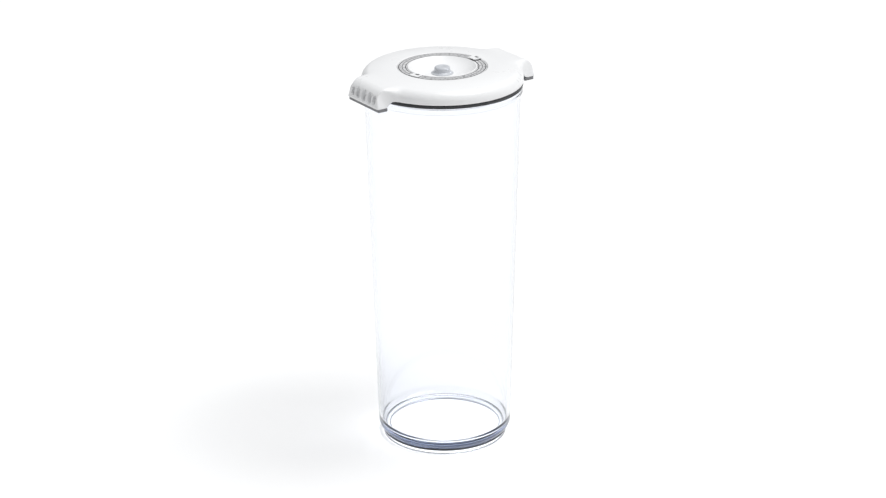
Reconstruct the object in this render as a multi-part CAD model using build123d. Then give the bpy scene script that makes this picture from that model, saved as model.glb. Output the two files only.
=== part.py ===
"""Tall clear storage canister with a domed vacuum lid.

Millimetres, +Z up. The origin is on the canister's axis, at the table. The two ears of the
lid point along +X and -X.
"""
from build123d import *
import math
import os

# Canister body
foot_radius = 52.6           # foot ring, outside
foot_width = 5.0             # foot ring, across its wall
foot_lift = 2.5              # how far the underside stands off the table
corner_radius = 9.5          # outside corner between foot and wall
corner_rise = 3.1            # base ring to the unrounded corner
base_radius = 56.1           # outside of the tapered wall, carried down to the table
neck_radius = 64.2           # outside of the tapered wall, just under the collar
wall = 3.0                   # side wall
floor_thickness = 7.5
inner_corner_radius = 7.0
rim_height = 311.0           # top of the canister
collar_radius = 65.8
collar_height = 5.4
lip_height = 3.5             # clear lip between the table and the base ring
edge_round = 0.6             # small moulded edges

# Dark ring round the foot
base_ring_height = 1.9
base_ring_depth = 1.8
base_ring_proud = 0.6        # how far it stands out of the foot

# Lid seal and lid base
lid_radius = 66.5
gasket_height = 3.0
gasket_inset = 0.3           # gasket edge behind the lid edge
plug_clearance = 1.0         # radial, plug to canister
plug_wall = 2.8
plug_depth = 2.5             # plug below the rim
seal_fit = 0.2               # radial room between pieces of the lid
base_plate = 2.0
base_well_radius = 6.0       # hole under the valve

# Lid cover
cover_height = 12.2          # cover edge to dial rim
shoulder_drop = 3.2          # dial rim to the corner of the cover's edge
dome_drop = 0.65             # dial rim to the middle of the crown
dome_radius = 52.0           # where the crown starts to fall away
cover_round = 6.5
cover_wall = 2.4
ear_reach = 77.5             # axis to the foot of an ear's end face
ear_half_width = 22.5        # at the foot of an ear
ear_flare = 7.0              # concave fillet between the foot of an ear and the cover's edge
ear_lean = 1.5               # how far the end face leans in, up to the dial rim
ear_taper = 5.6              # how much narrower each flank is, up to the dial rim
ear_top_flare = 14.0
ear_end_round = 9.0          # from the crown over into the end face
ear_slope_drop = 3.9         # dial rim to the top of an ear's end
ear_crown_drop = 1.3         # dial rim to the top of an ear, under the crown
ear_hang = 4.8               # ear below the cover's edge
ear_gap = 1.0                # radial, ear to collar
ear_round = 2.0
grip_pad_thickness = 2.7
grip_pad_inset = 0.3
grip_pad_end_inset = 1.1     # pad's end behind the ear's end face
grip_pad_length = 9.0
dimple_pitches = (0.0, 8.8, 15.1)
dimple_widths = (5.4, 5.0, 3.6)
dimple_heights = (7.8, 6.8, 5.2)
dimple_depth = 1.2
dimple_drop = 10.2           # dial rim to the middle of the dimples

# Date dial
dial_radius = 36.9           # outer wall of the dial channel
dial_inner_radius = 28.6     # outside of the pump cup
dial_shelf_depth = 2.7       # dial rim to the shelf that carries the scale
dial_shelf = 1.7
scale_sink = 0.4             # scale surface below the dial rim
carrier_width = 0.5
running_gap = 0.3            # pointer rings to their neighbours
pointer_width = 9.0
pointer_thickness = 0.6
window_width = 4.6
window_reach = 2.4
day_angle = 1.0
month_angle = 195.0

# Pump cup and valve
cup_shelf_radius = 26.6      # hole in the shelf under the cup's flange
cup_wall = 1.6
cup_depth = 5.8
cup_rim_width = 1.0
cup_seat_radius = 9.8        # flat seat for the valve flange
cup_collar_radius = 14.0
cup_collar_wall = 2.0
cup_seal_height = 1.5
valve_knob_radius = 6.6
valve_knob_height = 4.7
valve_flange_radius = 9.2
valve_flange_height = 0.9
valve_stem_radius = 2.6
valve_stem_room = 0.4        # radial, stem to its hole
valve_bulb_radius = 4.0
valve_bulb_height = 1.4
valve_travel = 1.8
air_hole_radius = 0.8
air_hole_circle = 7.2
air_hole_count = 6

# Heights and radii that follow from the sizes above
ring_bottom = lip_height
ring_top = ring_bottom + base_ring_height
floor_top = foot_lift + floor_thickness
collar_bottom = rim_height - collar_height
edge_z = rim_height + gasket_height
rim_z = edge_z + cover_height
shelf_top = rim_z - dial_shelf_depth
scale_top = rim_z - scale_sink
cup_floor_z = rim_z - cup_depth
plate_top = edge_z + base_plate
draft = (neck_radius - base_radius) / collar_bottom
plug_radius = neck_radius - wall - plug_clearance
groove_floor = foot_radius - base_ring_depth


def wall_radius(height):
    """Outside radius of the tapered wall at a height."""
    return base_radius + draft * height


def leg_share(corner_fillet, neighbour_fillet):
    """Share of a straight run that one corner's fillet may use."""
    return 0.95 if corner_fillet == 0 or neighbour_fillet == 0 else 0.47


def turned(corners):
    """Solid of revolution from (radius, height, corner fillet) points.

    A fillet is limited by the straight runs on either side of it.
    """
    points = [Vector(radius, 0, height) for radius, height, _ in corners]
    fillets = [fillet_radius for _, _, fillet_radius in corners]
    limited = []
    for index, wanted in enumerate(fillets):
        after = (index + 1) % len(points)
        run_in = points[index] - points[index - 1]
        run_out = points[after] - points[index]
        half_turn = math.radians(run_in.get_angle(run_out)) / 2
        room_in = run_in.length * leg_share(wanted, fillets[index - 1])
        room_out = run_out.length * leg_share(wanted, fillets[after])
        limited.append(min(wanted, min(room_in, room_out) / math.tan(half_turn)))
    outline = FilletPolyline(*points, radius=limited, close=True)
    return revolve(make_face(outline), Axis.Z)


def ring(inner, outer, low, high):
    return turned([(inner, low, 0), (outer, low, 0), (outer, high, 0), (inner, high, 0)])


def disc(radius, low, high):
    return Pos(0, 0, low) * extrude(Circle(radius), amount=high - low)


def block(x_range, y_range, z_range):
    size = [high - low for low, high in (x_range, y_range, z_range)]
    middle = [(high + low) / 2 for low, high in (x_range, y_range, z_range)]
    return Pos(*middle) * Box(*size)


def canister_body():
    foot_inside = foot_radius - foot_width
    inner_top = neck_radius - wall
    inner_bottom = wall_radius(floor_top) - wall
    return turned([
        (0, foot_lift, 0),
        (foot_inside, foot_lift, 0),
        (foot_inside, 0, edge_round),
        (foot_radius, 0, edge_round),
        (foot_radius, ring_bottom, 0),
        (groove_floor, ring_bottom, 0),
        (groove_floor, ring_top, 0),
        (foot_radius + base_ring_proud, ring_top, 0),
        (wall_radius(ring_top + corner_rise), ring_top + corner_rise, corner_radius),
        (neck_radius, collar_bottom, 0),
        (collar_radius, collar_bottom, edge_round),
        (collar_radius, rim_height, edge_round),
        (inner_top, rim_height, edge_round),
        (inner_top, collar_bottom, 0),
        (inner_bottom, floor_top, inner_corner_radius),
        (0, floor_top, 0),
    ])


def base_ring():
    return ring(groove_floor, foot_radius + base_ring_proud, ring_bottom, ring_top)


def lid_gasket():
    inner = plug_radius + seal_fit
    outer = lid_radius - gasket_inset
    bead = gasket_height / 3
    return turned([
        (inner, rim_height, 0),
        (outer, rim_height, bead),
        (outer, edge_z, bead),
        (inner, edge_z, 0),
    ])


def lid_base():
    skirt_inside = plug_radius - plug_wall
    skirt_bottom = rim_height - plug_depth
    return turned([
        (base_well_radius, edge_z, 0),
        (skirt_inside, edge_z, 0),
        (skirt_inside, skirt_bottom, edge_round),
        (plug_radius, skirt_bottom, edge_round),
        (plug_radius, edge_z, 0),
        (lid_radius - cover_wall - seal_fit, edge_z, 0),
        (lid_radius - cover_wall - seal_fit, plate_top, edge_round),
        (base_well_radius, plate_top, 0),
    ])


def cover_shell():
    shoulder_z = rim_z - shoulder_drop
    inner_radius = lid_radius - cover_wall
    dial_wall = dial_radius + cover_wall
    return turned([
        (inner_radius, edge_z, 0),
        (lid_radius, edge_z, 0),
        (lid_radius, shoulder_z, cover_round),
        (dome_radius, rim_z - dome_drop, 0),
        (dial_radius, rim_z, 0),
        (dial_radius, shelf_top, 0),
        (cup_shelf_radius, shelf_top, 0),
        (cup_shelf_radius, shelf_top - dial_shelf, 0),
        (dial_wall, shelf_top - dial_shelf, 0),
        (dial_wall, rim_z - cover_wall, 0),
        (dome_radius, rim_z - dome_drop - cover_wall, 0),
        (inner_radius, shoulder_z - cover_wall, cover_round - cover_wall),
    ])


def arc_about(centre, start, end):
    """Short arc about a centre, in plan."""
    middle = (Vector(*start) + Vector(*end)) / 2 - Vector(*centre)
    radius = (Vector(*start) - Vector(*centre)).length
    crest = Vector(*centre) + middle.normalized() * radius
    return ThreePointArc(start, (crest.X, crest.Y), end)


def ear_plan(reach, half_width, flare, edge):
    """Plan of one ear: straight flanks, round corners, concave flares onto a round edge."""
    flare_x = math.sqrt((edge + flare) ** 2 - (half_width + flare) ** 2)
    share = edge / (edge + flare)
    root_x, root_y = share * flare_x, share * (half_width + flare)
    inner_x = dome_radius - cover_wall
    corner_x, corner_y = reach - ear_round, half_width - ear_round
    lines = []
    for side in (1, -1):
        lines += [
            Line((inner_x, side * root_y), (root_x, side * root_y)),
            arc_about((flare_x, side * (half_width + flare)),
                      (root_x, side * root_y), (flare_x, side * half_width)),
            Line((flare_x, side * half_width), (corner_x, side * half_width)),
            arc_about((corner_x, side * corner_y),
                      (corner_x, side * half_width), (reach, side * corner_y)),
        ]
    lines.append(Line((reach, corner_y), (reach, -corner_y)))
    lines.append(Line((inner_x, root_y), (inner_x, -root_y)))
    return make_face([line.edges()[0] for line in lines])


def ear_bottom():
    return edge_z - ear_hang


def ear_side():
    """Everything within the side outline of an ear, which is rounded over at its end."""
    corners = [
        (0, ear_bottom(), 0),
        (ear_reach, ear_bottom(), edge_round),
        (ear_reach, rim_z - ear_slope_drop + ear_crown_drop, ear_end_round),
        (0, rim_z - ear_crown_drop, 0),
    ]
    points = [Vector(x, 0, z) for x, z, _ in corners]
    outline = FilletPolyline(*points, radius=[fillet for _, _, fillet in corners], close=True)
    return extrude(make_face(outline), amount=lid_radius, both=True)


def ear_body():
    """One ear at +X, under a crown that carries on from the cover."""
    low, high = ear_bottom(), rim_z
    foot = Pos(0, 0, low) * ear_plan(ear_reach, ear_half_width, ear_flare, lid_radius)
    top_width = ear_half_width - ear_taper
    head = Pos(0, 0, high) * ear_plan(ear_reach - ear_lean, top_width, ear_top_flare, lid_radius)
    blank = loft([foot, head], ruled=True)
    crown = turned([
        (0, low - 1, 0),
        (ear_reach + ear_flare, low - 1, 0),
        (ear_reach + ear_flare, rim_z - ear_slope_drop, 0),
        (dome_radius, rim_z - ear_crown_drop, 0),
        (0, rim_z - ear_crown_drop, 0),
    ])
    half_wall = cover_wall / 2
    hollow = disc(lid_radius - half_wall, edge_z, rim_z - ear_slope_drop - half_wall)
    collar_room = disc(collar_radius + ear_gap, low - 1, edge_z)
    return (blank & crown & ear_side()) - hollow - collar_room


def dimple_cutters():
    """Five upright ovals across the leaning end face of the ear at +X."""
    lean = math.atan(ear_lean / (rim_z - ear_bottom()))
    height_share = (rim_z - dimple_drop - ear_bottom()) / (rim_z - ear_bottom())
    face_x = ear_reach - ear_lean * height_share
    outwards = (math.cos(lean), 0, math.sin(lean))
    cutters = []
    for pitch, width, height in zip(dimple_pitches, dimple_widths, dimple_heights):
        for side in sorted({-pitch, pitch}):
            plane = Plane((face_x, side, rim_z - dimple_drop), (0, 1, 0), outwards)
            oval = Ellipse(width / 2, height / 2)
            cutters.append(extrude(plane * oval, amount=dimple_depth, both=True))
    return cutters


def lid_cover():
    """Two matching halves, each a half shell with its ear, joined into one cover."""
    ear = ear_body()
    for cutter in dimple_cutters():
        ear -= cutter
    width = lid_radius + 1
    right = block((0, ear_reach), (-width, width), (ear_bottom(), rim_z + 1))
    half = (cover_shell() & right) + ear
    return half + Rot(0, 0, 180) * half


def grip_pad(turn):
    bottom = ear_bottom() - grip_pad_thickness
    reach = ear_reach - grip_pad_end_inset
    plan = ear_plan(
        reach,
        ear_half_width - grip_pad_inset,
        ear_flare,
        lid_radius - grip_pad_inset,
    )
    pad = Pos(0, 0, bottom) * extrude(plan, amount=grip_pad_thickness)
    pad -= disc(collar_radius + ear_gap, bottom - 1, edge_z)
    pad &= block((reach - grip_pad_length, reach), (-lid_radius, lid_radius), (bottom, ear_bottom()))
    return Rot(0, 0, turn) * pad


def date_scale_ring():
    inner = dial_inner_radius + 2 * running_gap + carrier_width
    outer = dial_radius - 2 * running_gap - carrier_width
    return ring(inner, outer, shelf_top, scale_top)


def pointer(inner, outer, carrier, plate_bottom, window_radius):
    """Low carrier ring with a window frame that rises from it across the scale, along +X."""
    plate_top = plate_bottom + pointer_thickness
    half = pointer_width / 2
    bar = block((0, outer + 1), (-half, half), (plate_bottom, plate_top))
    frame = bar & ring(inner, outer, plate_bottom, plate_top)
    window_x = (window_radius - window_reach / 2, window_radius + window_reach / 2)
    window_y = (-window_width / 2, window_width / 2)
    window = block(window_x, window_y, (plate_bottom - 1, plate_top + 1))
    foot_z = shelf_top + running_gap
    skirt = ring(*carrier, foot_z, scale_top)
    riser = block((0, outer + 1), (-half, half), (foot_z, plate_top)) & ring(*carrier, foot_z, plate_top)
    return frame - window + skirt + riser


def pointer_radii():
    """Inner and outer reach shared by the two pointer frames."""
    return dial_inner_radius + running_gap, dial_radius - running_gap


def month_pointer():
    inner, outer = pointer_radii()
    reach = outer - carrier_width - running_gap
    row = inner + carrier_width + window_reach / 2 + running_gap
    carrier = (inner, inner + carrier_width)
    plate = scale_top + running_gap
    return Rot(0, 0, month_angle) * pointer(inner, reach, carrier, plate, row)


def day_pointer():
    inner, outer = pointer_radii()
    row = outer - carrier_width - window_reach / 2 - running_gap
    carrier = (outer - carrier_width, outer)
    plate = scale_top + pointer_thickness + 2 * running_gap
    return Rot(0, 0, day_angle) * pointer(inner, outer, carrier, plate, row)


def bowl_cutter():
    """Space above the dish: a flat seat that sweeps up to the rim in one arc."""
    mouth = dial_inner_radius - cup_rim_width
    seat_edge = (cup_seat_radius, 0, cup_floor_z)
    sweep = TangentArc(seat_edge, (mouth, 0, rim_z), tangent=(1, 0, 0))
    above = rim_z + 1
    rest = Polyline((mouth, 0, rim_z), (mouth, 0, above), (0, 0, above), (0, 0, cup_floor_z), seat_edge)
    return revolve(make_face([*sweep.edges(), *rest.edges()]), Axis.Z)


def pump_cup():
    """Concave centre of the dial with a flat valve seat and a sealing collar."""
    seal_top = plate_top + cup_seal_height
    hole = valve_stem_radius + valve_stem_room
    underside = cup_floor_z - cup_wall
    body = turned([
        (hole, underside, 0),
        (cup_collar_radius - cup_collar_wall, underside, 0),
        (cup_collar_radius - cup_collar_wall, seal_top, 0),
        (cup_collar_radius, seal_top, 0),
        (cup_collar_radius, underside, 0),
        (cup_shelf_radius - seal_fit, shelf_top, 0),
        (dial_inner_radius, shelf_top, 0),
        (dial_inner_radius, rim_z, 0),
        (hole, rim_z, 0),
    ])
    body -= bowl_cutter()
    for index in range(air_hole_count):
        turn = 360 * index / air_hole_count
        hole_at = Rot(0, 0, turn) * Pos(air_hole_circle, 0, 0)
        body -= hole_at * disc(air_hole_radius, underside - 1, cup_floor_z + 1)
    return body


def cup_seal():
    inner = cup_collar_radius - cup_collar_wall - seal_fit
    outer = cup_collar_radius + seal_fit
    return ring(inner, outer, plate_top, plate_top + cup_seal_height)


def valve():
    underside = cup_floor_z - cup_wall
    bulb_top = underside - valve_travel - running_gap
    bulb_bottom = bulb_top - valve_bulb_height
    flange_top = cup_floor_z + valve_flange_height
    knob_top = flange_top + valve_knob_height
    return turned([
        (0, bulb_bottom, 0),
        (valve_bulb_radius, bulb_bottom, 0.4),
        (valve_bulb_radius, bulb_top, 0.4),
        (valve_stem_radius, bulb_top, 0),
        (valve_stem_radius, cup_floor_z, 0),
        (valve_flange_radius, cup_floor_z, 0),
        (valve_flange_radius, flange_top, 0.4),
        (valve_knob_radius, flange_top, 0.4),
        (valve_knob_radius - 0.3, knob_top, 1.2),
        (0, knob_top, 0),
    ])


pieces = {
    "canister_body": canister_body(),
    "base_ring": base_ring(),
    "lid_gasket": lid_gasket(),
    "lid_base": lid_base(),
    "lid_cover": lid_cover(),
    "right_grip_pad": grip_pad(0),
    "left_grip_pad": grip_pad(180),
    "date_scale_ring": date_scale_ring(),
    "day_pointer": day_pointer(),
    "month_pointer": month_pointer(),
    "pump_cup": pump_cup(),
    "cup_seal": cup_seal(),
    "valve": valve(),
}

os.makedirs("parts", exist_ok=True)
for name, solid in pieces.items():
    export_step(solid, f"parts/{name}.step")
    print(name, round(solid.volume), "mm3")
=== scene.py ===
import math

import bmesh
import bpy
import numpy as np
import openvdb
from mathutils import Matrix, Vector


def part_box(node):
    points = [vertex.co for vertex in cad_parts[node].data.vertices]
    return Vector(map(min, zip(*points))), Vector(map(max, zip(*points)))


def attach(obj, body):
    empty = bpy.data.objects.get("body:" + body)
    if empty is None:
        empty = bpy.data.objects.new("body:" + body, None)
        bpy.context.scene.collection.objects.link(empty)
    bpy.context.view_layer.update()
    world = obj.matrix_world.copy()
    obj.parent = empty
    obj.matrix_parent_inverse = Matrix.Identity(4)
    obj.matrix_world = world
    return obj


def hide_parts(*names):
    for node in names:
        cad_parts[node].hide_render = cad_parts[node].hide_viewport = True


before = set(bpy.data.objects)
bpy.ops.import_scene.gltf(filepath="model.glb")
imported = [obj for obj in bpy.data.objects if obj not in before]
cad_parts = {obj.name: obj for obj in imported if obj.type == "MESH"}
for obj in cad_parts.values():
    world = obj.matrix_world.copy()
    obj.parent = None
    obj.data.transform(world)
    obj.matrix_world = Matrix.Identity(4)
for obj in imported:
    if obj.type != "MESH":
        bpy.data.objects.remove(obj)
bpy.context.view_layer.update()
scene = bpy.context.scene
mm = 0.001

# Levels and radii that several pieces share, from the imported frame, in millimetres.
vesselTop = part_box("canister_body")[1] / mm
coverLow, coverHigh = [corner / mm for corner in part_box("lid_cover")]
cupLow, cupHigh = [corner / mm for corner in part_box("pump_cup")]
scaleLow, scaleHigh = [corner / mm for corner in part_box("date_scale_ring")]
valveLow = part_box("valve")[0] / mm
gasketLow, gasketHigh = [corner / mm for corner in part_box("lid_gasket")]
footRingLow, footRingHigh = [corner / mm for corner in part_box("base_ring")]
dialTop = cupHigh.z
coverEdge = gasketHigh.z
seatGap = 0.02  # left between pieces that rest on each other


def addNode(tree, kind, place=(0, 0), **settings):
    node = tree.nodes.new(kind)
    node.location = place
    for name, value in settings.items():
        setattr(node, name, value)
    return node


def newPiece(name, mesh, material):
    piece = bpy.data.objects.new(name, mesh)
    scene.collection.objects.link(piece)
    if not mesh.materials:
        mesh.materials.append(material)
    return piece


def freeze(piece):
    # the modifiers' result becomes the piece's own plain mesh
    graph = bpy.context.evaluated_depsgraph_get()
    made = bpy.data.meshes.new_from_object(piece.evaluated_get(graph))
    piece.modifiers.clear()
    piece.data = made
    return piece


def faceOutwards(mesh):
    # also drops the stray edges that a turned outline leaves along its axis
    work = bmesh.new()
    work.from_mesh(mesh)
    stray = [edge for edge in work.edges if not edge.link_faces]
    bmesh.ops.delete(work, geom=stray, context="EDGES")
    if work.calc_volume(signed=True) < 0:
        bmesh.ops.reverse_faces(work, faces=work.faces)
    work.to_mesh(mesh)
    work.free()


shading = {"creaseAngle": 32}


def smoothShade(piece):
    # flat faces stay flat and round ones smooth, with a crisp line where they meet sharply
    mesh = piece.data
    mesh.polygons.foreach_set("use_smooth", [True] * len(mesh.polygons))
    mesh.set_sharp_from_angle(angle=math.radians(shading["creaseAngle"]))
    weighted = piece.modifiers.new("even shading", "WEIGHTED_NORMAL")
    weighted.keep_sharp = True
    return freeze(piece)


def mount(piece, body, slot, *nodes):
    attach(piece, body)
    if nodes:
        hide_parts(*nodes)
    return piece


def newMaterial(name, **values):
    material = bpy.data.materials.new(name)
    material.use_nodes = True
    shader = material.node_tree.nodes["Principled BSDF"]
    for socket, value in values.items():
        shader.inputs[socket.replace("_", " ")].default_value = value
    return material, material.node_tree, shader


def grainBump(tree, shader, scale, strength, distance, detail=3.0):
    coords = addNode(tree, "ShaderNodeTexCoord", (-900, -300))
    grain = addNode(tree, "ShaderNodeTexNoise", (-700, -300))
    grain.inputs["Scale"].default_value = scale
    grain.inputs["Detail"].default_value = detail
    bump = addNode(tree, "ShaderNodeBump", (-300, -300))
    bump.inputs["Strength"].default_value = strength
    bump.inputs["Distance"].default_value = distance
    tree.links.new(coords.outputs["Object"], grain.inputs["Vector"])
    tree.links.new(grain.outputs["Fac"], bump.inputs["Height"])
    tree.links.new(bump.outputs["Normal"], shader.inputs["Normal"])
    return coords


def patchy(tree, coords, shader, scale, low, high):
    # a soft cloudy variation of the roughness between two values
    clouds = addNode(tree, "ShaderNodeTexNoise", (-700, 100))
    clouds.inputs["Scale"].default_value = scale
    clouds.inputs["Detail"].default_value = 4.0
    spread = addNode(tree, "ShaderNodeMapRange", (-480, 100))
    spread.inputs["From Min"].default_value = 0.3
    spread.inputs["From Max"].default_value = 0.7
    spread.inputs["To Min"].default_value = low
    spread.inputs["To Max"].default_value = high
    tree.links.new(coords.outputs["Object"], clouds.inputs["Vector"])
    tree.links.new(clouds.outputs["Fac"], spread.inputs["Value"])
    tree.links.new(spread.outputs["Result"], shader.inputs["Roughness"])


def tonePatches(tree, coords, shader, tones, scale):
    dark, light = tones
    clouds = addNode(tree, "ShaderNodeTexNoise", (-700, 400))
    clouds.inputs["Scale"].default_value = scale
    ramp = addNode(tree, "ShaderNodeValToRGB", (-480, 400))
    ramp.color_ramp.elements[0].position = 0.3
    ramp.color_ramp.elements[1].position = 0.7
    ramp.color_ramp.elements[0].color = (*dark, 1)
    ramp.color_ramp.elements[1].color = (*light, 1)
    tree.links.new(coords.outputs["Object"], clouds.inputs["Vector"])
    tree.links.new(clouds.outputs["Fac"], ramp.inputs["Fac"])
    tree.links.new(ramp.outputs["Color"], shader.inputs["Base Color"])


# darkest and lightest tone of each finish
finishTones = {
    "white": ((0.85, 0.853, 0.86), (0.875, 0.876, 0.88)),
    "seal": ((0.03, 0.031, 0.034), (0.045, 0.046, 0.05)),
    "grip": ((0.2, 0.2, 0.21), (0.25, 0.25, 0.26)),
    "scale": ((0.58, 0.58, 0.59), (0.64, 0.64, 0.645)),
    "inkAndGapShade": ((0.05, 0.05, 0.055), (0.075, 0.075, 0.08)),
    "silicone": ((0.57, 0.59, 0.63), (0.64, 0.66, 0.69)),
}
clearTint = {"through": (0.28, 0.44, 0.8, 1), "density": 11.0}


def clearMoulding():
    material, tree, shader = newMaterial(
        "clearMoulding", Transmission_Weight=1.0, IOR=1.49, Roughness=0.0,
        Base_Color=(0.985, 0.99, 1.0, 1),
    )
    coords = grainBump(tree, shader, 60, 0.02, 0.0002, 1.0)
    patchy(tree, coords, shader, 25, 0.0, 0.035)
    depthTint = addNode(tree, "ShaderNodeVolumeAbsorption", (0, -300))
    depthTint.inputs["Color"].default_value = clearTint["through"]
    depthTint.inputs["Density"].default_value = clearTint["density"]
    tree.links.new(depthTint.outputs["Volume"], tree.nodes["Material Output"].inputs["Volume"])
    return material


def whitePlastic():
    material, tree, shader = newMaterial(
        "whitePlastic", Roughness=0.3, IOR=1.5, Coat_Weight=0.08, Coat_Roughness=0.12,
    )
    coords = grainBump(tree, shader, 1400, 0.05, 0.0001)
    patchy(tree, coords, shader, 40, 0.26, 0.36)
    tonePatches(tree, coords, shader, finishTones["white"], 12)
    return material


def darkSeal():
    material, tree, shader = newMaterial("darkSeal", IOR=1.45)
    coords = grainBump(tree, shader, 2200, 0.25, 0.0001)
    patchy(tree, coords, shader, 90, 0.45, 0.62)
    tonePatches(tree, coords, shader, finishTones["seal"], 60)
    return material


def greyGrip():
    material, tree, shader = newMaterial("greyGrip", IOR=1.45)
    coords = grainBump(tree, shader, 1800, 0.3, 0.00015)
    patchy(tree, coords, shader, 80, 0.5, 0.66)
    tonePatches(tree, coords, shader, finishTones["grip"], 60)
    return material


def paleScale():
    material, tree, shader = newMaterial("paleScale")
    coords = grainBump(tree, shader, 1600, 0.08, 0.0001)
    patchy(tree, coords, shader, 70, 0.38, 0.5)
    tonePatches(tree, coords, shader, finishTones["scale"], 50)
    return material


# dark ink for the printed numbers, ticks and middle line; the same tone paints the scale's outer and
# inner lines as painted shade standing in for the shadowed gaps at the plate's edges
def printInkAndGapShade():
    material, tree, shader = newMaterial("printInkAndGapShade")
    coords = grainBump(tree, shader, 2600, 0.1, 0.00005)
    patchy(tree, coords, shader, 120, 0.4, 0.55)
    tonePatches(tree, coords, shader, finishTones["inkAndGapShade"], 120)
    return material


def milkySilicone():
    material, tree, shader = newMaterial(
        "milkySilicone", IOR=1.41, Transmission_Weight=0.12, Subsurface_Weight=0.3,
        Subsurface_Scale=0.002, Subsurface_Radius=(1, 1, 1),
    )
    coords = grainBump(tree, shader, 1200, 0.12, 0.0001)
    patchy(tree, coords, shader, 90, 0.28, 0.4)
    tonePatches(tree, coords, shader, finishTones["silicone"], 80)
    return material


clear, white, seal = clearMoulding(), whitePlastic(), darkSeal()
grip, scaleGrey, inkAndGapShade, silicone = greyGrip(), paleScale(), printInkAndGapShade(), milkySilicone()
print("materials ready")


# turned pieces: an outline swept round the axis by Geometry Nodes
def turningTree():
    tree = bpy.data.node_groups.new("turnedOutline", "GeometryNodeTree")
    face = tree.interface
    face.new_socket("Outline", in_out="INPUT", socket_type="NodeSocketGeometry")
    face.new_socket("Hub Radius", in_out="INPUT", socket_type="NodeSocketFloat")
    face.new_socket("Steps Round", in_out="INPUT", socket_type="NodeSocketInt")
    face.new_socket("Corner Steps", in_out="INPUT", socket_type="NodeSocketInt")
    face.new_socket("Material", in_out="INPUT", socket_type="NodeSocketMaterial")
    face.new_socket("Turned", in_out="OUTPUT", socket_type="NodeSocketGeometry")
    given = addNode(tree, "NodeGroupInput", (-900, 0))
    toCurve = addNode(tree, "GeometryNodeMeshToCurve", (-700, 100))
    corner = addNode(tree, "GeometryNodeInputNamedAttribute", (-700, -100), data_type="FLOAT")
    corner.inputs["Name"].default_value = "round"
    fillet = addNode(tree, "GeometryNodeFilletCurve", (-500, 100), mode="POLY")
    fillet.inputs["Limit Radius"].default_value = True
    circle = addNode(tree, "GeometryNodeCurvePrimitiveCircle", (-500, -200))
    sweep = addNode(tree, "GeometryNodeCurveToMesh", (-300, 0))
    weld = addNode(tree, "GeometryNodeMergeByDistance", (-100, 0))
    weld.inputs["Distance"].default_value = 0.000002
    smooth = addNode(tree, "GeometryNodeSetShadeSmooth", (100, 0))
    real = addNode(tree, "GeometryNodeRealizeInstances", (300, 0))
    dress = addNode(tree, "GeometryNodeSetMaterial", (500, 0))
    done = addNode(tree, "NodeGroupOutput", (700, 0))
    wires = tree.links.new
    wires(given.outputs["Outline"], toCurve.inputs["Mesh"])
    wires(toCurve.outputs["Curve"], fillet.inputs["Curve"])
    wires(corner.outputs["Attribute"], fillet.inputs["Radius"])
    wires(given.outputs["Corner Steps"], fillet.inputs["Count"])
    wires(given.outputs["Steps Round"], circle.inputs["Resolution"])
    wires(given.outputs["Hub Radius"], circle.inputs["Radius"])
    wires(circle.outputs["Curve"], sweep.inputs["Curve"])
    wires(fillet.outputs["Curve"], sweep.inputs["Profile Curve"])
    wires(sweep.outputs["Mesh"], weld.inputs["Geometry"])
    wires(weld.outputs["Geometry"], smooth.inputs["Geometry"])
    wires(smooth.outputs["Geometry"], real.inputs["Geometry"])
    wires(real.outputs["Geometry"], dress.inputs["Geometry"])
    wires(given.outputs["Material"], dress.inputs["Material"])
    wires(dress.outputs["Geometry"], done.inputs["Turned"])
    return tree


def setInputs(modifier, **values):
    sockets = {item.name: item.identifier for item in modifier.node_group.interface.items_tree
               if item.in_out == "INPUT"}
    for name, value in values.items():
        modifier[sockets[name.replace("_", " ")]] = value


turning = turningTree()


def turnedPiece(name, outline, material, stepsRound=192, cornerSteps=6):
    # outline: (radius, height, corner rounding) in millimetres, once round the section
    hubRadius = 100
    loop = bpy.data.meshes.new(name + "Outline")
    points = [((radius - hubRadius) * mm, -height * mm, 0) for radius, height, _ in outline]
    loop.from_pydata(points, [(i, (i + 1) % len(points)) for i in range(len(points))], [])
    rounding = loop.attributes.new("round", "FLOAT", "POINT")
    rounding.data.foreach_set("value", [corner * mm for _, _, corner in outline])
    piece = newPiece(name, loop, material)
    lathe = piece.modifiers.new("turned", "NODES")
    lathe.node_group = turning
    setInputs(lathe, Hub_Radius=hubRadius * mm, Steps_Round=stepsRound,
              Corner_Steps=cornerSteps, Material=material)
    freeze(piece)
    faceOutwards(piece.data)
    return smoothShade(piece)


bodySizes = {
    "footRadius": 52.6, "footWidth": 5.0, "footLift": 2.5, "footInsideRound": 1.2,
    "grooveDepth": 0.9, "grooveRound": 0.2, "grooveLip": 0.6, "cornerRound": 9.5, "cornerRise": 3.1,
    "baseRadius": 56.1, "neckRadius": 64.2, "wall": 3.0, "floorTop": 10.0, "insideRound": 7.0,
    "collarHeight": 5.4, "collarRound": 0.5, "edgeRound": 0.6,
}


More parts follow.
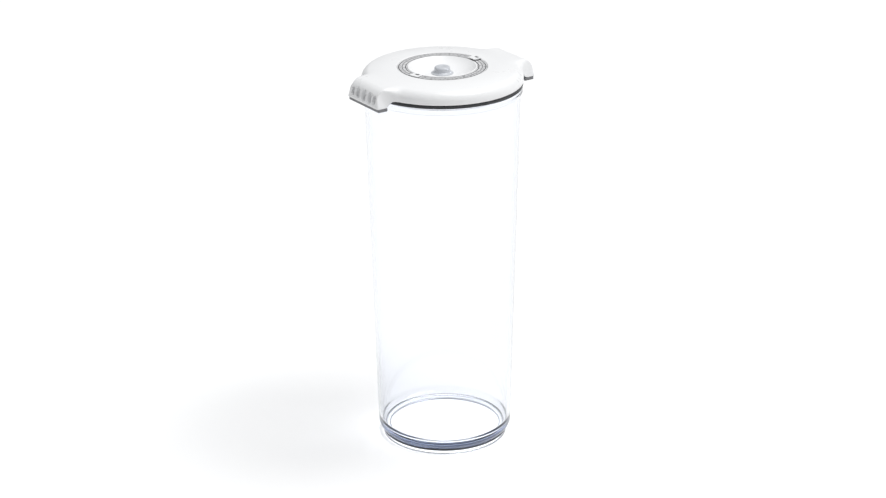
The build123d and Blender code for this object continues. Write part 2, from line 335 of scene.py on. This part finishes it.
def canisterOutline():
    size = bodySizes
    collarBottom = vesselTop.z - size["collarHeight"]
    draft = (size["neckRadius"] - size["baseRadius"]) / collarBottom
    grooveBottom, grooveTop = footRingLow.z, footRingHigh.z
    grooveFloor = footRingHigh.y - size["grooveDepth"]
    cornerZ = grooveTop + size["cornerRise"]
    footInside = size["footRadius"] - size["footWidth"]
    innerTop = size["neckRadius"] - size["wall"]
    innerBase = size["baseRadius"] + draft * size["floorTop"] - size["wall"]
    return [
        (0, size["footLift"], 0),
        (footInside, size["footLift"], size["footInsideRound"]),
        (footInside, 0, size["edgeRound"]),
        (size["footRadius"], 0, size["edgeRound"]),
        (size["footRadius"], grooveBottom, size["grooveRound"]),
        (grooveFloor, grooveBottom, 0),
        (grooveFloor, grooveTop, 0),
        (size["footRadius"] + size["grooveLip"], grooveTop, 0),
        (size["baseRadius"] + draft * cornerZ, cornerZ, size["cornerRound"]),
        (size["neckRadius"], collarBottom, size["collarRound"]),
        (vesselTop.y, collarBottom, size["edgeRound"]),
        (vesselTop.y, vesselTop.z, size["edgeRound"]),
        (innerTop, vesselTop.z, size["edgeRound"]),
        (innerTop, collarBottom, 0),
        (innerBase, size["floorTop"], size["insideRound"]),
        (0, size["floorTop"], 0),
    ]


canister = turnedPiece("clear_canister", canisterOutline(), clear, 256, 10)
canister.visible_shadow = False
mount(canister, "canister", "clear_glass", "canister_body")

bandSizes = {"thickness": 0.88, "chamfer": 0.35, "chamferHeight": 0.5, "backRound": 0.15,
             "frontRound": 0.3, "topRound": 0.25}


def footBand():
    size = bandSizes
    back, front = footRingHigh.y - size["thickness"], footRingHigh.y
    low, high = footRingLow.z + seatGap, footRingHigh.z - seatGap
    return turnedPiece("foot_band", [
        (back, low, size["backRound"]),
        (front - size["chamfer"], low, size["frontRound"]),
        (front, footRingLow.z + size["chamferHeight"], size["frontRound"]),
        (front, high, size["topRound"]),
        (back, high, size["backRound"]),
    ], seal, 192, 4)


mount(footBand(), "canister", "dark_seal", "base_ring")

sealSizes = {"hole": 60.4, "holeRound": 0.2, "lipWidth": 0.9, "lipHeight": 0.75, "lipRound": 0.5}


def lidSeal():
    size = sealSizes
    low, high = gasketLow.z, gasketHigh.z
    lip, front = gasketHigh.y - size["lipWidth"], gasketHigh.y
    return turnedPiece("lid_seal", [
        (size["hole"], low + seatGap, size["holeRound"]),
        (lip, low + seatGap, size["lipRound"]),
        (front, low + size["lipHeight"], size["lipRound"]),
        (front, high - size["lipHeight"], size["lipRound"]),
        (lip, high - seatGap, size["lipRound"]),
        (size["hole"], high - seatGap, size["holeRound"]),
    ], seal, 192, 4)


mount(lidSeal(), "lid", "dark_seal", "lid_gasket")
print("clear body, foot band and seal turned")


# moulded pieces: a distance rule meshed on a fine grid
def roundedMax(a, b, radius):
    return np.minimum(np.maximum(a, b), -radius) + np.hypot(
        np.maximum(a + radius, 0), np.maximum(b + radius, 0))


def softStep(value, start, end):
    t = np.clip((value - start) / (end - start), 0, 1)
    return t * t * (3 - 2 * t)


def slopesAt(rule, places, reach):
    parts = []
    for axis in range(3):
        step = np.zeros(3)
        step[axis] = reach
        ahead, behind = (places + step).T, (places - step).T
        parts.append((rule(*ahead) - rule(*behind)) / (2 * reach))
    return np.stack(parts, axis=1)


def mouldedPiece(name, rule, low, high, voxel, adaptivity, material):
    margin = 2 * voxel
    steps = [np.arange(a - margin, b + margin, voxel) for a, b in zip(low, high)]
    x, y, z = np.meshgrid(*steps, indexing="ij", sparse=True)
    shape = [len(axis) for axis in steps]
    grid = openvdb.FloatGrid(3 * voxel)
    grid.copyFromArray(np.broadcast_to(rule(x, y, z), shape).astype(np.float32))
    points, triangles, quads = grid.convertToPolygons(adaptivity=adaptivity)
    places = points * voxel + np.array([axis[0] for axis in steps])
    # each point is drawn onto the rule's own surface, which takes the grid's steps away
    for _ in range(2):
        slopes = slopesAt(rule, places, 0.2 * voxel)
        steepness = np.sum(slopes ** 2, axis=1, keepdims=True) + 0.05
        shift = slopes * rule(*places.T)[:, None] / steepness
        length = np.linalg.norm(shift, axis=1, keepdims=True) + 1e-9
        places -= shift * np.minimum(1, 0.35 * voxel / length)
    mesh = bpy.data.meshes.new(name)
    mesh.from_pydata(places * mm, [], [*triangles.tolist(), *quads.tolist()])
    faceOutwards(mesh)
    mesh.polygons.foreach_set("use_smooth", [True] * len(mesh.polygons))
    # shading normals straight from the rule, smoother than the mesh's own
    normals = slopesAt(rule, places, 0.35 * voxel)
    normals /= np.linalg.norm(normals, axis=1, keepdims=True) + 1e-12
    mesh.normals_split_custom_set_from_vertices(normals.tolist())
    print(name, "moulded,", len(mesh.polygons), "faces")
    return newPiece(name, mesh, material)


coverSizes = {
    "dialRadius": 36.9, "shelfDepth": 2.7, "shelfThickness": 1.7, "shelfHole": 26.6,
    "shoulderDrop": 3.2, "domePower": 2.6, "edgeRound": 6.5, "wall": 2.4,
    "halfWidth": 22.5, "flare": 9.0, "lean": 1.5, "taper": 5.0, "topFlare": 26.0,
    "endDrop": 2.3, "endRound": 1.5, "endTopRound": 1.6, "noseRound": 9.0,
    "hangStart": 63.0, "hangEnd": 69.5, "collarRoom": 66.8,
    "crownStart": 45.0, "crownDrop": 0.2, "crownPower": 1.5, "blendStart": 48.0, "blendEnd": 66.0,
    "sideStart": 18.0, "sideEnd": 30.0, "endRoundStart": 56.0, "endRoundEnd": 70.0,
    "lowerRound": 0.5, "roomRound": 4.1, "trayRound": 0.5, "voxel": 0.66,
}
dimpleSizes = {
    "pitches": (0.0, 8.6, 15.4), "widths": (7.0, 6.2, 4.6), "heights": (9.4, 8.4, 6.6),
    "depth": 5.2, "drop": 10.6, "mouth": 0.6, "mouthRound": 0.6,
}


def earFlanks(x, y, height):
    # the round edge and one bar across it, with hollow flares between; height runs 0 to 1
    size = coverSizes
    along, aside = np.abs(x), np.abs(y)
    edge = coverHigh.y
    halfWidth = size["halfWidth"] - size["taper"] * height
    flare = size["flare"] + (size["topFlare"] - size["flare"]) * height
    centreY = halfWidth + flare
    centreX = np.sqrt((edge + flare) ** 2 - centreY ** 2)
    radial = np.hypot(along, aside)
    plain = np.minimum(radial - edge, aside - halfWidth)
    hollow = flare - np.hypot(along - centreX, aside - centreY)
    nearSide = (along <= centreX) & (along * centreY - aside * centreX >= 0)
    inFlare = nearSide & (aside <= centreY)
    return np.where(inFlare, hollow, plain)


def topLevel(radial, along, aside):
    # a dome that the crowns of the ears carry on
    size = coverSizes
    share = np.clip((radial - size["dialRadius"]) / (coverHigh.y - size["dialRadius"]), 0, 1.3)
    domeDrop = size["shoulderDrop"] * share ** size["domePower"]
    earShare = np.clip((along - size["crownStart"]) / (coverHigh.x - size["crownStart"]), 0, 1.2)
    earDrop = size["crownDrop"] + (size["endDrop"] - size["crownDrop"]) * earShare ** size["crownPower"]
    onEar = softStep(along, size["blendStart"], size["blendEnd"])
    onEar = onEar * (1 - softStep(aside, size["sideStart"], size["sideEnd"]))
    return dialTop - (domeDrop + (earDrop - domeDrop) * onEar)


def ovalScoop(x, y, z, middle, half):
    # a fuller shape than an egg, so that its sides stay steep near the mouth
    near = [np.abs(axis - centre) / size for axis, centre, size in zip((x, y, z), middle, half)]
    steep = np.sqrt(sum((part ** 2 / size) ** 2 for part, size in zip(near, half)))
    reach = sum(part ** 3 for part in near) ** (1 / 3)
    return reach ** 2 * (reach - 1) / (steep + 1e-9)


def coverRule(x, y, z):
    size = coverSizes
    radial, along, aside = np.hypot(x, y), np.abs(x), np.abs(y)
    bottom = coverLow.z
    height = np.clip((z - bottom) / (dialTop - bottom), 0, 1)
    top = topLevel(radial, along, aside)
    # the ear's end: a face that leans a little and rolls over into the crown
    endFace = along - (coverHigh.x - size["lean"] * height)
    flanks = roundedMax(earFlanks(x, y, height), endFace, size["endRound"])
    nearEnd = softStep(along, size["endRoundStart"], size["endRoundEnd"])
    topRound = size["edgeRound"] + (size["endTopRound"] - size["edgeRound"]) * nearEnd
    body = roundedMax(flanks, z - top, topRound)
    body = np.maximum(body, roundedMax(endFace, z - top, size["noseRound"]))
    # underside: the lid edge and, lower, the ears clear of the collar
    hang = bottom + (coverEdge - bottom) * (1 - softStep(along, size["hangStart"], size["hangEnd"]))
    body = roundedMax(body, hang - z, size["lowerRound"])
    collarSpace = np.minimum(coverEdge - z, size["collarRoom"] - radial)
    body = roundedMax(body, collarSpace, size["lowerRound"])
    # room inside, under the dome and round the dial tray
    room = roundedMax(radial - (coverHigh.y - size["wall"]), z - (top - size["wall"]), size["roomRound"])
    tray = dialTop - size["shelfDepth"] - size["shelfThickness"]
    room = np.maximum(room, np.minimum(size["dialRadius"] + size["wall"] - radial, z - tray))
    body = np.maximum(body, -room)
    # dial tray and the hole for the cup
    shelf = dialTop - size["shelfDepth"]
    body = roundedMax(body, np.minimum(size["dialRadius"] - radial, z - shelf), size["trayRound"])
    body = np.maximum(body, size["shelfHole"] - radial)
    # scoops across each end face
    dimple = dimpleSizes
    middleZ = dialTop - dimple["drop"]
    faceX = coverHigh.x - size["lean"] * (middleZ - bottom) / (dialTop - bottom)
    for pitch, width, tall in zip(dimple["pitches"], dimple["widths"], dimple["heights"]):
        scoop = ovalScoop(along, aside, z, (faceX + dimple["mouth"], pitch, middleZ),
                          (dimple["depth"] + dimple["mouth"], width / 2, tall / 2))
        body = roundedMax(body, -scoop, dimple["mouthRound"])
    return body


cover = mouldedPiece("lid_cover_moulding", coverRule, coverLow, coverHigh,
                     coverSizes["voxel"], 0.0, white)
mount(cover, "lid", "white_plastic", "lid_cover")


padSizes = {"cornerRound": 1.2, "edgeRound": 0.5, "collarRound": 0.4, "voxel": 0.4,
            "flatness": 0.01}


def padRule(side):
    padLow, padHigh = [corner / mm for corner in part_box(side)]
    nearX, farX = sorted((abs(padLow.x), abs(padHigh.x)))
    sign = math.copysign(1, padHigh.x + padLow.x)

    def rule(x, y, z):
        along, aside = sign * x, np.abs(y)
        ends = np.maximum(along - farX, nearX - along)
        outline = roundedMax(ends, aside - padHigh.y, padSizes["cornerRound"])
        layer = np.maximum(z - (padHigh.z - seatGap), padLow.z - z)
        pad = roundedMax(outline, layer, padSizes["edgeRound"])
        collarSpace = coverSizes["collarRoom"] - np.hypot(x, y)
        return roundedMax(pad, collarSpace, padSizes["collarRound"])
    return rule, padLow, padHigh


for side in ("right_grip_pad", "left_grip_pad"):
    rule, padLow, padHigh = padRule(side)
    pad = mouldedPiece(side + "_soft", rule, padLow, padHigh,
                       padSizes["voxel"], padSizes["flatness"], grip)
    mount(pad, "lid", "grey_grip", side)
print("cover and grip pads moulded")


cupSizes = {"seatRadius": 9.8, "rimRadius": 28.6, "rimWidth": 1.0, "collarRadius": 14.0,
            "collarWall": 2.0, "hole": 3.0, "wall": 1.6, "depth": 5.8, "shelfHole": 26.4,
            "airHoleRadius": 0.8, "airHoleCircle": 7.2, "airHoles": 6, "drillLength": 8.0}


def dishArc(steps=22):
    size = cupSizes
    mouth = size["rimRadius"] - size["rimWidth"]
    across = mouth - size["seatRadius"]
    sweepRadius = (across ** 2 + size["depth"] ** 2) / (2 * size["depth"])
    most = math.asin(across / sweepRadius)
    floorZ = dialTop - size["depth"]
    return [(size["seatRadius"] + sweepRadius * math.sin(most * i / steps),
             floorZ + sweepRadius * (1 - math.cos(most * i / steps)), 0)
            for i in range(steps, -1, -1)]


def pumpCup():
    size = cupSizes
    underside = dialTop - size["depth"] - size["wall"]
    shelf = dialTop - coverSizes["shelfDepth"]
    outline = [
        (size["hole"], underside, 0),
        (size["collarRadius"] - size["collarWall"], underside, 0.4),
        (size["collarRadius"] - size["collarWall"], cupLow.z, 0.3),
        (size["collarRadius"], cupLow.z, 0.3),
        (size["collarRadius"], underside, 0.4),
        (size["shelfHole"], shelf, 0.3),
        (size["rimRadius"], shelf, 0.2),
        (size["rimRadius"], dialTop, 0.4),
        *dishArc(),
        (size["hole"], dialTop - size["depth"], 0.3),
    ]
    piece = turnedPiece("pump_dish", outline, white, 160, 5)
    # air holes round the valve's stem
    drills = bmesh.new()
    for i in range(size["airHoles"]):
        turn = 2 * math.pi * i / size["airHoles"]
        circle, radius = size["airHoleCircle"] * mm, size["airHoleRadius"] * mm
        middle = (circle * math.cos(turn), circle * math.sin(turn), underside * mm)
        bmesh.ops.create_cone(drills, cap_ends=True, segments=20, radius1=radius, radius2=radius,
                              depth=size["drillLength"] * mm, matrix=Matrix.Translation(middle))
    drillMesh = bpy.data.meshes.new("airDrills")
    drills.to_mesh(drillMesh)
    drills.free()
    drill = newPiece("airDrills", drillMesh, white)
    cut = piece.modifiers.new("air holes", "BOOLEAN")
    cut.object = drill
    cut.solver = "EXACT"
    freeze(piece)
    bpy.data.objects.remove(drill)
    return piece


mount(pumpCup(), "lid", "white_plastic", "pump_cup")

valveSizes = {"knobRadius": 6.6, "knobHeight": 4.7, "flangeRadius": 9.2, "flangeHeight": 0.9,
              "flangeEdge": 0.35, "stemRadius": 2.6, "bulbRadius": 4.0, "bulbHeight": 1.4,
              "bulbTip": 1.2, "knobFoot": 0.9, "knobDraft": 0.25, "knobTopRound": 1.7,
              "dentRadius": 2.6, "dentFloor": 1.6, "dentDepth": 0.5}


def valveKnob():
    size = valveSizes
    seat = dialTop - cupSizes["depth"]
    top = seat + size["flangeHeight"] + size["knobHeight"]
    outline = [
        (0, valveLow.z, 0),
        (size["bulbRadius"] - size["bulbTip"], valveLow.z, 0.6),
        (size["bulbRadius"], valveLow.z + size["bulbHeight"], 0.5),
        (size["stemRadius"], valveLow.z + size["bulbHeight"], 0.3),
        (size["stemRadius"], seat + seatGap, 0.2),
        (size["flangeRadius"], seat + seatGap, 0.2),
        (size["flangeRadius"], seat + size["flangeEdge"], 0.2),
        (size["knobRadius"] + size["knobFoot"], seat + size["flangeHeight"], 0.8),
        (size["knobRadius"], seat + size["flangeHeight"] + size["knobFoot"], 0.6),
        (size["knobRadius"] - size["knobDraft"], top, size["knobTopRound"]),
        (size["dentRadius"], top, 0.8),
        (size["dentFloor"], top - size["dentDepth"], 0.5),
        (0, top - size["dentDepth"], 0),
    ]
    return turnedPiece("valve_knob", outline, silicone, 96, 6)


mount(valveKnob(), "valve", "milky_silicone", "valve")

cupSealSizes = {"outsideGap": 0.05, "edgeRound": 0.4}


def cupSeal():
    size = cupSealSizes
    sealLow, sealHigh = [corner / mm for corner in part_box("cup_seal")]
    inside, outside = cupSizes["collarRadius"] - cupSizes["collarWall"], sealHigh.y - size["outsideGap"]
    low, high = sealLow.z + seatGap, sealHigh.z - seatGap
    corners = [(inside, low), (outside, low), (outside, high), (inside, high)]
    outline = [(radius, height, size["edgeRound"]) for radius, height in corners]
    return turnedPiece("cup_seal_ring", outline, seal, 96, 4)


mount(cupSeal(), "lid", "dark_seal", "cup_seal")
print("dish, valve and its seal made")


# pieces that keep the frame's shape, with softened edges, in millimetres
softEdges = {"day_pointer": 0.12, "month_pointer": 0.12, "lid_base": 0.3}


def softenedCopy(node, name, material):
    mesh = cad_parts[node].data.copy()
    mesh.name = name
    work = bmesh.new()
    work.from_mesh(mesh)
    bmesh.ops.remove_doubles(work, verts=work.verts, dist=0.000003)
    bmesh.ops.dissolve_limit(work, angle_limit=math.radians(0.6), verts=work.verts, edges=work.edges)
    work.to_mesh(mesh)
    work.free()
    if "custom_normal" in mesh.attributes:
        mesh.attributes.remove(mesh.attributes["custom_normal"])
    mesh.materials.clear()
    piece = newPiece(name, mesh, material)
    bevel = piece.modifiers.new("soft edges", "BEVEL")
    bevel.width = softEdges[node] * mm
    bevel.segments = 2
    bevel.limit_method = "ANGLE"
    bevel.angle_limit = math.radians(35)
    freeze(piece)
    return smoothShade(piece)


# both pointers ride on bodies of their own names
for node in ("day_pointer", "month_pointer"):
    mount(softenedCopy(node, node + "_frame", white), node, "white_plastic", node)
mount(softenedCopy("lid_base", "lid_base_plate", white), "lid", "white_plastic", "lid_base")
print("pointers and lid base softened")


# the date scale: numbers and ticks laid round by Geometry Nodes
scaleSizes = {"inner": 29.7, "middleLine": 32.7, "lineInset": 0.3, "lineWidth": 0.5,
              "inkHeight": 0.06, "inkSink": 0.01, "dayRow": 34.2, "monthRow": 31.1,
              "daySize": 2.0, "monthSize": 2.3, "days": 31, "months": 12,
              "tickLength": 2.0, "tickWidth": 0.22, "lowerRound": 0.1, "upperRound": 0.25}


def numberRowTree():
    tree = bpy.data.node_groups.new("numberRow", "GeometryNodeTree")
    face = tree.interface
    face.new_socket("Count", in_out="INPUT", socket_type="NodeSocketInt")
    for name in ("Row Radius", "Digit Size", "Ink Height", "Level", "Tick Length", "Tick Width"):
        face.new_socket(name, in_out="INPUT", socket_type="NodeSocketFloat")
    face.new_socket("Material", in_out="INPUT", socket_type="NodeSocketMaterial")
    face.new_socket("Print", in_out="OUTPUT", socket_type="NodeSocketGeometry")
    wires = tree.links.new

    def maths(operation, first, second, place):
        node = addNode(tree, "ShaderNodeMath", place, operation=operation)
        for socket, value in zip(node.inputs, (first, second)):
            if isinstance(value, (int, float)):
                socket.default_value = value
            else:
                wires(value, socket)
        return node.outputs[0]

    def vector(place, **parts):
        node = addNode(tree, "ShaderNodeCombineXYZ", place)
        for name, value in parts.items():
            if isinstance(value, (int, float)):
                node.inputs[name].default_value = value
            else:
                wires(value, node.inputs[name])
        return node.outputs[0]

    given = addNode(tree, "NodeGroupInput", (-1500, 0))
    spots = addNode(tree, "GeometryNodePoints", (-1300, 200))
    wires(given.outputs["Count"], spots.inputs["Count"])
    eachIn = addNode(tree, "GeometryNodeForeachGeometryElementInput", (-1100, 200))
    eachOut = addNode(tree, "GeometryNodeForeachGeometryElementOutput", (900, 200), domain="POINT")
    eachIn.pair_with_output(eachOut)
    wires(spots.outputs[0], eachIn.inputs["Geometry"])
    number = maths("ADD", eachIn.outputs["Index"], 1, (-900, 100))
    words = addNode(tree, "FunctionNodeValueToString", (-700, 100), data_type="INT")
    wires(number, words.inputs["Value"])
    letters = addNode(tree, "GeometryNodeStringToCurves", (-500, 100),
                      align_x="CENTER", align_y="MIDDLE")
    wires(words.outputs["String"], letters.inputs["String"])
    wires(given.outputs["Digit Size"], letters.inputs["Size"])
    flat = addNode(tree, "GeometryNodeRealizeInstances", (-300, 100))
    fill = addNode(tree, "GeometryNodeFillCurve", (-100, 100))
    wires(letters.outputs["Curve Instances"], flat.inputs["Geometry"])
    wires(flat.outputs["Geometry"], fill.inputs["Curve"])
    outwards = addNode(tree, "GeometryNodeTransform", (100, 100))
    outwards.inputs["Rotation"].default_value = (0, 0, -math.pi / 2)
    wires(fill.outputs["Mesh"], outwards.inputs["Geometry"])
    wires(vector((-100, -100), X=given.outputs["Row Radius"], Z=given.outputs["Level"]),
          outwards.inputs["Translation"])
    turn = maths("DIVIDE", maths("MULTIPLY", eachIn.outputs["Index"], 2 * math.pi, (-500, -300)),
                 given.outputs["Count"], (-300, -300))
    placed = addNode(tree, "GeometryNodeTransform", (300, 100))
    wires(outwards.outputs["Geometry"], placed.inputs["Geometry"])
    wires(vector((100, -300), Z=turn), placed.inputs["Rotation"])
    # the tick that stands half a pitch further round
    halfPitch = maths("DIVIDE", math.pi, given.outputs["Count"], (-300, -500))
    tick = addNode(tree, "GeometryNodeMeshGrid", (-100, -500))
    tick.inputs["Vertices X"].default_value = 2
    tick.inputs["Vertices Y"].default_value = 2
    wires(given.outputs["Tick Length"], tick.inputs["Size X"])
    wires(given.outputs["Tick Width"], tick.inputs["Size Y"])
    tickOut = addNode(tree, "GeometryNodeTransform", (100, -500))
    wires(tick.outputs["Mesh"], tickOut.inputs["Geometry"])
    wires(vector((-100, -700), X=given.outputs["Row Radius"], Z=given.outputs["Level"]),
          tickOut.inputs["Translation"])
    tickTurn = addNode(tree, "GeometryNodeTransform", (300, -500))
    wires(tickOut.outputs["Geometry"], tickTurn.inputs["Geometry"])
    wires(vector((100, -700), Z=maths("ADD", turn, halfPitch, (-100, -800))),
          tickTurn.inputs["Rotation"])
    both = addNode(tree, "GeometryNodeJoinGeometry", (500, 100))
    wires(placed.outputs["Geometry"], both.inputs["Geometry"])
    wires(tickTurn.outputs["Geometry"], both.inputs["Geometry"])
    wires(both.outputs["Geometry"], eachOut.inputs["Generation_0"])
    # thickness: the sheet turned over, and the same sheet raised
    raised = addNode(tree, "GeometryNodeExtrudeMesh", (1100, 200), mode="FACES")
    raised.inputs["Individual"].default_value = False
    wires(eachOut.outputs["Generation_0"], raised.inputs["Mesh"])
    wires(given.outputs["Ink Height"], raised.inputs["Offset Scale"])
    under = addNode(tree, "GeometryNodeFlipFaces", (1100, 0))
    wires(eachOut.outputs["Generation_0"], under.inputs["Mesh"])
    closed = addNode(tree, "GeometryNodeJoinGeometry", (1300, 100))
    wires(raised.outputs["Mesh"], closed.inputs["Geometry"])
    wires(under.outputs["Mesh"], closed.inputs["Geometry"])
    weld = addNode(tree, "GeometryNodeMergeByDistance", (1500, 100))
    weld.inputs["Distance"].default_value = 0.0000005
    real = addNode(tree, "GeometryNodeRealizeInstances", (1700, 100))
    dress = addNode(tree, "GeometryNodeSetMaterial", (1900, 100))
    done = addNode(tree, "NodeGroupOutput", (2100, 100))
    wires(closed.outputs["Geometry"], weld.inputs["Geometry"])
    wires(weld.outputs["Geometry"], real.inputs["Geometry"])
    wires(real.outputs["Geometry"], dress.inputs["Geometry"])
    wires(given.outputs["Material"], dress.inputs["Material"])
    wires(dress.outputs["Geometry"], done.inputs["Print"])
    return tree


numberRows = numberRowTree()


def numberRow(name, count, radius, digitSize):
    size = scaleSizes
    piece = newPiece(name, bpy.data.meshes.new(name), inkAndGapShade)
    row = piece.modifiers.new("row", "NODES")
    row.node_group = numberRows
    setInputs(row, Count=count, Row_Radius=radius * mm, Digit_Size=digitSize * mm,
              Ink_Height=size["inkHeight"] * mm, Level=(scaleHigh.z - size["inkSink"]) * mm,
              Tick_Length=size["tickLength"] * mm, Tick_Width=size["tickWidth"] * mm, Material=inkAndGapShade)
    freeze(piece)
    return mount(piece, "lid", "grey_print")


# a thin dark ring on the scale plate: print for the middle line, painted shade of the gaps at the
# plate's edges for the outer and inner lines
def printAndGapShadeLine(name, radius):
    half = scaleSizes["lineWidth"] / 2
    low, top = scaleHigh.z - scaleSizes["inkSink"], scaleHigh.z + scaleSizes["inkHeight"]
    corners = [(radius - half, low, 0), (radius + half, low, 0),
               (radius + half, top, 0), (radius - half, top, 0)]
    return mount(turnedPiece(name, corners, inkAndGapShade, 128, 1), "lid", "grey_print")


def scalePlate():
    inner, lower, upper = scaleSizes["inner"], scaleSizes["lowerRound"], scaleSizes["upperRound"]
    return turnedPiece("scale_plate", [
        (inner, scaleLow.z, lower), (scaleHigh.x, scaleLow.z, lower),
        (scaleHigh.x, scaleHigh.z, upper), (inner, scaleHigh.z, upper)], scaleGrey, 160, 3)


mount(scalePlate(), "lid", "grey_print", "date_scale_ring")
numberRow("day_numbers", scaleSizes["days"], scaleSizes["dayRow"], scaleSizes["daySize"])
numberRow("month_numbers", scaleSizes["months"], scaleSizes["monthRow"], scaleSizes["monthSize"])
# the outer and inner lines are painted shade where the gaps beside the scale plate fall into shadow; the
# middle line is print
printAndGapShadeLine("gap_shade_line_outer", scaleHigh.x - scaleSizes["lineInset"])
printAndGapShadeLine("scale_line_middle", scaleSizes["middleLine"])
printAndGapShadeLine("gap_shade_line_inner", scaleSizes["inner"] + scaleSizes["lineInset"])
print("date scale printed")


cameraSizes = {"azimuth": -34.0, "elevation": 21.79, "distance": 2.1425, "aimHeight": 0.1656,
               "lens": 103.86, "roll": 0.0071, "shift": -0.000643}


def makeCamera():
    size = cameraSizes
    azimuth, elevation = math.radians(size["azimuth"]), math.radians(size["elevation"])
    back = Vector((math.sin(azimuth) * math.cos(elevation),
                   -math.cos(azimuth) * math.cos(elevation), math.sin(elevation)))
    camera = bpy.data.objects.new("camera", bpy.data.cameras.new("camera"))
    camera.data.lens = size["lens"]
    camera.data.sensor_width = 36
    camera.data.shift_x = size["shift"]
    camera.data.clip_start = 0.05
    camera.data.clip_end = 50
    camera.rotation_mode = "QUATERNION"
    camera.location = Vector((0, 0, size["aimHeight"])) + back * size["distance"]
    rolled = Matrix.Rotation(-size["roll"], 3, "Z").to_quaternion()
    camera.rotation_quaternion = (-back).to_track_quat("-Z", "Y") @ rolled
    scene.collection.objects.link(camera)
    scene.camera = camera


floorSizes = {"half": 6.0, "drop": 0.0002, "tone": 0.93}


def makeFloor():
    mesh = bpy.data.meshes.new("floor")
    half, tone = floorSizes["half"], floorSizes["tone"]
    mesh.from_pydata([(-half, -half, 0), (half, -half, 0), (half, half, 0), (-half, half, 0)],
                     [], [(0, 1, 2, 3)])
    paleFloor = newMaterial("paleFloor", Roughness=0.7, Base_Color=(tone, tone, tone, 1))[0]
    floor = newPiece("floor", mesh, paleFloor)
    floor.location.z = -floorSizes["drop"]


skySizes = {"from": (0.3, -0.22, 1.0), "strength": 2.75, "softness": 40}


def softSky():
    data = bpy.data.lights.new("softbox overhead", "SUN")
    data.energy = skySizes["strength"]
    data.angle = math.radians(skySizes["softness"])
    lamp = bpy.data.objects.new("softbox overhead", data)
    lamp.rotation_mode = "QUATERNION"
    lamp.rotation_quaternion = Vector(skySizes["from"]).to_track_quat("Z", "Y")
    scene.collection.objects.link(lamp)


worldSizes = {"horizon": 0.22, "zenith": 0.62, "dimSide": 0.6, "brightSide": 1.05,
              "tint": (0.97, 0.985, 1, 1)}


def makeWorld():
    # a white studio, dimmer low down and towards -X
    studio = worldSizes
    world = bpy.data.worlds.new("studio")
    world.use_nodes = True
    tree = world.node_tree
    background = tree.nodes["Background"]
    coords = addNode(tree, "ShaderNodeTexCoord", (-900, 0))
    split = addNode(tree, "ShaderNodeSeparateXYZ", (-700, 0))
    tree.links.new(coords.outputs["Generated"], split.inputs["Vector"])
    parts = []
    for axis, start, dim, bright, y in (("Z", 0.0, studio["horizon"], studio["zenith"], 100),
                                        ("X", -1.0, studio["dimSide"], studio["brightSide"], -150)):
        level = addNode(tree, "ShaderNodeMapRange", (-500, y))
        level.inputs["From Min"].default_value = start
        level.inputs["From Max"].default_value = 1.0
        level.inputs["To Min"].default_value = dim
        level.inputs["To Max"].default_value = bright
        tree.links.new(split.outputs[axis], level.inputs["Value"])
        parts.append(level.outputs["Result"])
    strength = addNode(tree, "ShaderNodeMath", (-250, 0), operation="MULTIPLY")
    tree.links.new(parts[0], strength.inputs[0])
    tree.links.new(parts[1], strength.inputs[1])
    tree.links.new(strength.outputs[0], background.inputs["Strength"])
    background.inputs["Color"].default_value = studio["tint"]
    scene.world = world


makeCamera()
makeFloor()
makeWorld()
softSky()
scene.view_settings.view_transform = "Standard"
print("floor, light and camera set")
